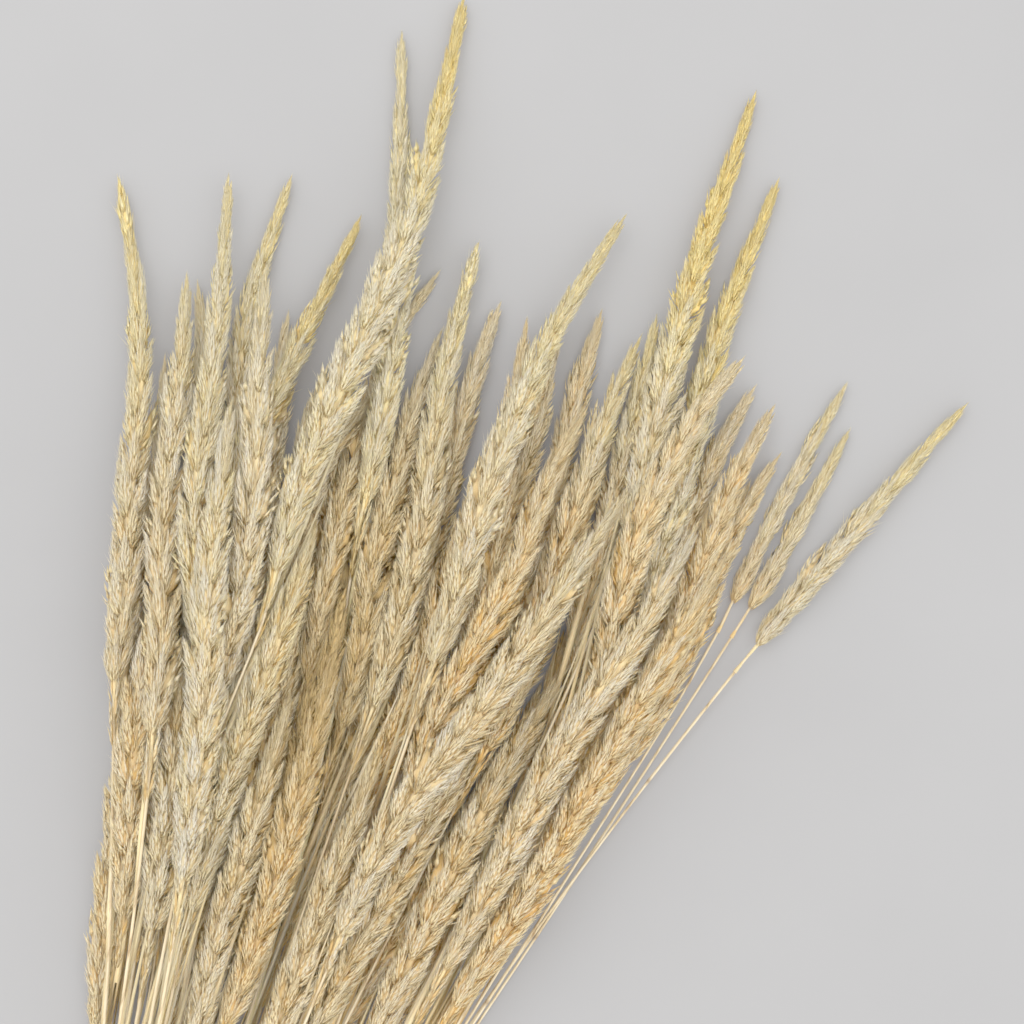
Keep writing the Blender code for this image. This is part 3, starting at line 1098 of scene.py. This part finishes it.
@dataclass
class Leaves:
    """The long dry leaves that cling to one straw below its plume."""

    line: ReedLine
    look: PlumeLook
    rng: Rng
    lowest: float = 150 * MM
    every: float = 24 * MM
    sunk_mm: float = 0.8
    shape: Spikelet = Spikelet(widest=0.35, keel=0.16, flare=0.0, split=0.03)

    def build(self) -> Blades:
        """Sets narrow blades along the straw, a little under it, leaning into the fan.

        Returns:
            Their triangles.
        """
        ys = np.arange(self.lowest, self.line.foot - 10 * MM, self.every)
        ys = ys + self.rng.uniform(-12, 12, len(ys)) * MM
        count = len(ys)
        starts = self.line.at(ys)
        ends = self.line.at(ys + self.rng.uniform(80, 140, count) * MM)
        ends[:, 0] -= np.sign(ends[:, 0]) * self.rng.uniform(-1, 11, count) * MM
        ends[:, 2] -= self.rng.uniform(0.5, 4.0, count) * MM
        way = ends - starts
        along = unit(way)
        side = unit(np.cross(along, UP))
        out = np.cross(side, along)
        wide = self.rng.uniform(1.2, 2.6, count)[:, None] * MM
        frames = frames_of(out * wide, side * wide, way, starts - out * self.sunk_mm * MM)
        shifts = self.look.shift(np.zeros(count))
        shifts[:, 0] += self.rng.uniform(-0.34, 0.02, count)
        shifts[:, 1] += self.rng.normal(0, 0.05, count)
        return self.shape.blade().repeat(frames, shifts, self.rng.uniform(-0.6, 0.6, count))


@dataclass
class Piece:
    """One mesh of the bunch, put together from its parts."""

    name: str
    points: Array
    faces: Array
    places: Array
    finish: Array
    knot: Array

    def make(self, materials: list[Material]) -> Object:
        """Makes the object.

        Args:
            materials: Its materials, in the order of the finish numbers.

        Returns:
            The object, at the origin.
        """
        points = self.points.copy()
        points[:, 2] = np.maximum(points[:, 2], LOWEST)
        size, count = self.faces.size, len(self.faces)
        mesh = bpy.data.meshes.new(self.name)
        mesh.vertices.add(len(points))
        mesh.vertices.foreach_set("co", points.astype(np.float32).ravel())
        mesh.loops.add(size)
        mesh.loops.foreach_set("vertex_index", self.faces.astype(np.int32).ravel())
        mesh.polygons.add(count)
        mesh.polygons.foreach_set("loop_start", np.arange(0, size, 3, dtype=np.int32))
        mesh.polygons.foreach_set("material_index", self.finish.astype(np.int32))
        layer = mesh.uv_layers.new(name=MAP)
        layer.uv.foreach_set("vector", self.places.astype(np.float32).ravel())
        knot = mesh.attributes.new(KNOT, "FLOAT", "POINT")
        knot.data.foreach_set("value", self.knot.astype(np.float32))
        mesh.update(calc_edges=True)
        mesh.polygons.foreach_set("use_smooth", np.ones(count, bool))
        for material in materials:
            mesh.materials.append(material)
        return put_in_scene(bpy.data.objects.new(self.name, mesh))


@dataclass
class Bunch:
    """All reeds of the bunch.

    The looks give each finish its tone and hue. The golden tips give a reed's number its hue
    at the tip, and from where along the plume it turns to that hue.
    """

    nodes: dict
    slots: dict
    shades: PlumeShades = PlumeShades()
    straw_strip: tuple = (0.86, 0.99)
    seed: int = 7
    shapes: int = 6
    bare: tuple = (33, 34, 35)
    # The grey finish's low tone is painted shade, for reeds that lie in shade.
    looks: dict = field(default_factory=lambda: {
        Slot.WARM: (0.56, 0.30), Slot.PALE: (0.66, 0.46), Slot.GREY: (0.06, 0.50),
        Slot.GOLDEN: (0.66, 0.56),
    })
    golden_tips: dict = field(default_factory=lambda: {
        1: (0.86, 0.45), 3: (0.66, 0.60), 5: (0.80, 0.65), 6: (0.86, 0.55), 9: (0.92, 0.50),
        12: (0.74, 0.35), 13: (1.15, 0.62), 17: (0.80, 0.58), 21: (0.84, 0.55), 24: (0.76, 0.60),
        26: (1.35, 0.36), 27: (1.15, 0.42), 28: (0.80, 0.50), 33: (0.70, 0.2), 34: (0.70, 0.2),
        35: (0.90, 0.60),
    })

    def __post_init__(self) -> None:
        """Grows the branchlets that all plumes share."""
        self.materials = {slot: self.shades.finish(slot) for slot in Slot if slot is not Slot.BAND}
        self.straw = StrawShades().finish()
        coarse = {"spikelet_length": (7.6 * MM, 5.4 * MM), "spikelet_width": (0.80 * MM, 0.66 * MM)}
        kinds = {
            Cover.OPEN: Branchlet(),
            Cover.UNDER: Branchlet(scales=18, spikelets=8, hairs=2, **coarse),
            Cover.LOW: Branchlet(scales=12, spikelets=12, hairs=4, core=1.4 * MM, **coarse),
        }
        self.branchlets = {
            cover: [shape.grow(np.random.default_rng(self.seed + k)) for k in range(self.shapes)]
            for cover, shape in kinds.items()
        }

    def look_of(self, number: int, line: ReedLine, rng: Rng) -> PlumeLook:
        """Chooses one reed's colours, by its finish and its place in the fan.

        Args:
            number: The reed's number.
            line: Where it runs.
            rng: The source of irregularity.

        Returns:
            Its look.
        """
        slot = self.slots[f"reed_{number:02d}"]
        tone, hue = self.looks[slot]
        middle = line.at(np.array([0.5 * (line.foot + line.tip)]))[0]
        side = float(np.clip((middle[0] - 0.02) / 0.12, -1, 1))
        lower = float(np.clip((0.50 - middle[1]) / 0.14, -1, 1))
        hue -= 0.13 * side * (slot is not Slot.GREY) + 0.08 * lower + rng.normal(0, 0.035)
        tone += rng.normal(0, 0.03) - 0.07 * lower - 0.04 * side + 0.06 * abs(side)
        tip_hue, tip_from = self.golden_tips.get(number, (hue + 0.08, 0.6))
        return PlumeLook(slot, tone, hue, tip_hue, tip_from)

    def build(self) -> None:
        """Builds every reed, and has it stand for its node."""
        names = sorted(name for name in self.nodes if name.startswith("reed_"))
        lines = [ReedLine.of_node(self.nodes[name]) for name in names]
        for name, line in zip(names, lines):
            number = int(name[-2:])
            rng = np.random.default_rng(self.seed * 1000 + number)
            look = self.look_of(number, line, rng)
            covered = unit(line.points - line.hearts)[:, 2] < -0.45
            for other in lines:
                if other is not line:
                    covered |= other.hides(line.points)
            low = 0 if number in self.bare else Plume.low_branchlets
            plume = Plume(line, look, self.branchlets, covered, rng, low).build()
            heart = Heart(line, look, rng).build()
            skin, knot = Stem(line, rng).build()
            parts = [plume, heart]
            if number not in self.bare:
                parts.append(Leaves(line, look, rng).build())
            made = self._joined(f"small_{name}", Blades.joined(parts), skin, knot)
            piece = made.make([self.materials[look.slot], self.straw])
            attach(piece, "root")
            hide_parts(name)
            log.info(
                "%s: %d tufts, %d of them open, %d triangles",
                piece.name, len(covered), int((~covered).sum()), len(made.faces),
            )

    def _joined(self, name: str, plume: Blades, skin: Skin, knot: Array) -> Piece:
        """Puts a plume and its stem into one piece.

        Args:
            name: The piece's name.
            plume: The plume, with the heart and the leaves.
            skin: The stem.
            knot: How much of a knot each of the stem's points is.

        Returns:
            The piece, ready to be made.
        """
        start = len(plume.points)
        places = self.shades.place(plume.shade)[plume.faces]
        return Piece(
            name,
            np.concatenate([plume.points, skin.points]),
            np.concatenate([plume.faces, skin.faces + start]),
            np.concatenate([places, skin.unrolled(self.straw_strip)]),
            np.repeat([0, 1], [len(plume.faces), len(skin.faces)]),
            np.concatenate([np.zeros(start), knot]),
        )


@dataclass
class Binding:
    """The twine that is wound round the stems where the frame has its band."""

    node: Object
    turns: int = 5
    pitch: float = 1.58 * MM
    sides: int = 6
    strand: float = 0.38 * MM
    apart: float = 0.32 * MM
    lay: float = 3.6 * MM
    step: float = 0.55 * MM
    tuck: float = 1.2 * MM
    tuck_over: float = 5 * MM
    strips: tuple = ((0.01, 0.49), (0.51, 0.99))

    def outline(self) -> Array:
        """Reads the middle of the band's wall.

        Returns:
            Its x and z, corner by corner.
        """
        bm = welded(self.node)
        corners = np.array([(v.co.x, v.co.z) for v in bm.verts if v.co.y < 0])
        bm.free()
        middle = corners.mean(axis=0)
        away = np.linalg.norm(corners - middle, axis=1)
        far = away > away.mean()
        loops = []
        for chosen in (corners[far], corners[~far]):
            turn = np.arctan2(chosen[:, 1] - middle[1], chosen[:, 0] - middle[0])
            loops.append(chosen[np.argsort(turn)])
        return 0.5 * (loops[0] + loops[1])

    def path(self) -> Array:
        """Winds the twine's line round the band's outline.

        Returns:
            The line's points, with both ends tucked in.
        """
        loop = self.outline()
        middle = loop.mean(axis=0)
        closed = np.concatenate([loop, loop[:1]])
        run = run_of(closed)
        length = run[-1] * self.turns
        along = np.arange(0, length, self.step)
        x, z = (np.interp(along % run[-1], run, closed[:, k]) for k in (0, 1))
        y = (along / run[-1] - self.turns / 2) * self.pitch
        ends = np.clip(1 - np.minimum(along, length - along) / self.tuck_over, 0, 1)
        inward = unit(np.stack([middle[0] - x, middle[1] - z], 1)) * (self.tuck * ends)[:, None]
        return np.stack([x + inward[:, 0], y, z + inward[:, 1]], 1)

    def build(self, material: Material) -> None:
        """Makes the two strands of the twine, and has them stand for the band.

        Args:
            material: What they are made of.
        """
        spine = self.path()
        way = unit(np.gradient(spine, axis=0))
        out = unit((spine - spine.mean(axis=0)) * np.array([1.0, 0.0, 1.0]))
        side = np.cross(way, out)
        skins = []
        for half in (0.0, math.pi):
            turn = (2 * math.pi * run_of(spine) / self.lay + half)[:, None]
            line = spine + self.apart * rolled(out, side, turn)[0]
            skins.append(Tube(self.sides).build(line, out, np.full(len(line), self.strand)))
        points = np.concatenate([skin.points for skin in skins])
        faces = np.concatenate([skins[0].faces, skins[1].faces + len(skins[0].points)])
        places = np.concatenate([s.unrolled(strip) for s, strip in zip(skins, self.strips)])
        plain_finish, no_knot = np.zeros(len(faces)), np.zeros(len(points))
        made = Piece("twine_binding", points, faces, places, plain_finish, no_knot)
        piece = made.make([material])
        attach(piece, "root")
        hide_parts("tie_band")
        log.info("%s: %d triangles", piece.name, len(faces))


@dataclass(frozen=True)
class Lamp:
    """One soft light: its name, place, width and power."""

    name: str
    at: tuple
    size: float
    watts: float


@dataclass
class Studio:
    """The pale floor, the soft light and the camera above it."""

    aim: tuple = (0.0235, 0.5728, 0.0)
    turn_degrees: float = 20.0
    lens: float = 85.0
    frame_width: float = 0.43
    sensor: float = 36.0
    floor: tuple = (152, 151, 151)
    floor_mottle: int = 9
    floor_half: float = 2.5
    floor_middle: tuple = (0, 0.3, 0)
    lamps: tuple = (
        Lamp("soft window", (-0.65, 1.15, 1.45), 1.3, 10.3),
        Lamp("low fill", (0.9, 0.1, 1.1), 1.5, 2.5),
    )
    room_light: float = 2.14
    gamma: float = 1.26

    def build(self) -> None:
        """Sets up everything round the bunch."""
        self._floor()
        self._camera()
        for lamp in self.lamps:
            self._light(lamp)
        shown = bpy.context.scene.view_settings
        shown.view_transform, shown.look, shown.gamma = "Standard", "Low Contrast", self.gamma
        world = bpy.data.worlds.new("soft room")
        world.use_nodes = True
        back = world.node_tree.nodes["Background"]
        back.inputs[0].default_value = (1.0, 1.0, 1.0, 1.0)
        back.inputs[1].default_value = self.room_light
        bpy.context.scene.world = world
        log.info("studio is set")

    def _floor(self) -> None:
        """Lays the floor under the bunch."""
        bm = bmesh.new()
        bmesh.ops.create_grid(bm, x_segments=2, y_segments=2, size=self.floor_half)
        bmesh.ops.translate(bm, verts=bm.verts[:], vec=self.floor_middle)
        mesh = bpy.data.meshes.new("floor")
        bm.to_mesh(mesh)
        bm.free()
        made = Finish("pale floor")
        soft = made.noise((9.0, 9.0, 9.0), 4.0)
        shade = linear(tuple(c - self.floor_mottle for c in self.floor))
        colour = made.blend(soft, shade, linear(self.floor))
        mesh.materials.append(made.dressed({"Base Color": colour, "Roughness": 0.9}))
        floor = put_in_scene(bpy.data.objects.new("floor", mesh))

    def _camera(self) -> None:
        """Hangs the camera straight above the fan."""
        data = bpy.data.cameras.new("camera")
        data.lens = self.lens
        data.sensor_width = self.sensor
        made = put_in_scene(bpy.data.objects.new("camera", data))
        made.location = (self.aim[0], self.aim[1], self.frame_width * self.lens / self.sensor)
        made.rotation_euler = (0.0, 0.0, math.radians(self.turn_degrees))
        bpy.context.scene.camera = made

    def _light(self, lamp: Lamp) -> None:
        """Hangs one soft light that looks at the fan.

        Args:
            lamp: What it is like.
        """
        data = bpy.data.lights.new(lamp.name, "AREA")
        data.energy = lamp.watts
        data.size = lamp.size
        made = put_in_scene(bpy.data.objects.new(lamp.name, data))
        made.location = lamp.at
        way = Vector(self.aim) - Vector(lamp.at)
        made.rotation_euler = way.to_track_quat("-Z", "Y").to_euler()


def clear_scene() -> None:
    """Removes what a new scene starts with."""
    for found in list(bpy.data.objects):
        bpy.data.objects.remove(found, do_unlink=True)


def main() -> None:
    """Builds the bunch and its studio."""
    logging.basicConfig(level=logging.INFO, format="%(message)s")
    clear_scene()
    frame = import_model()
    slots = {part["node"]: Slot(part["material_slot"]) for part in frame["record"]["subparts"]}
    Bunch(frame["nodes"], slots).build()
    Binding(frame["nodes"]["tie_band"]).build(TwineShades().finish())
    Studio().build()


if __name__ == "__main__":
    main()
